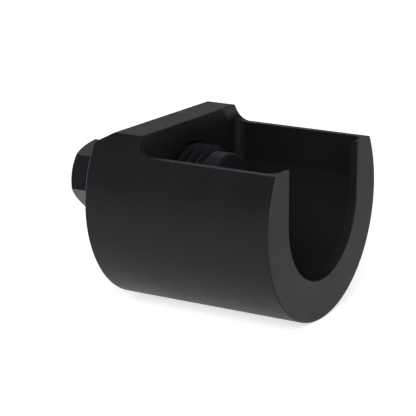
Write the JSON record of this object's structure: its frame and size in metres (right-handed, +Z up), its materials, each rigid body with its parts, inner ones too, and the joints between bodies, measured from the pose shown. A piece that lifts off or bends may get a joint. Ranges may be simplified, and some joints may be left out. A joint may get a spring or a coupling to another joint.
{
  "type": "ball joint extractor",
  "caption": "Bell-type ball joint extractor: open-topped steel bell with a forked front and a hexagon-driven forcing screw carrying a swivelling thrust pad.",
  "frame": {"origin": "on the surface the tool lies on, under the middle of its overall box", "axes": "+X from the hexagon drive towards the fork along the screw's axis, +Z up out of the cavity's open top"},
  "size_m": [0.098, 0.08, 0.065],
  "materials": {
    "housing_steel": "satin black oxide on machined steel",
    "screw_steel": "black oxide, slightly blue, oiled",
    "pad_steel": "black oxide, hardened",
    "ball_steel": "ground and polished bearing steel",
    "ring_steel": "bright spring wire"
  },
  "bodies": {
    "bell": {"housing": "housing_steel"},
    "pad": {"thrust_pad": "pad_steel", "thrust_ball": "ball_steel", "retaining_ring": "ring_steel"},
    "screw": {"forcing_screw": "screw_steel"}
  },
  "joints": [
    {"name": "pad_travel", "type": "slide", "parent": "bell", "child": "pad", "axis": [1, 0, 0], "range_m": [-0.0154, 0.0173]},
    {"name": "screw_turn", "type": "hinge", "parent": "pad", "child": "screw", "pos_m": [-0.011, 0, 0.04], "axis": [1, 0, 0], "range_deg": [-1570, 1770]}
  ],
  "couplings": [
    {"joint": "pad_travel", "follows": "screw_turn", "m_per_rad": 0.00055704}
  ]
}
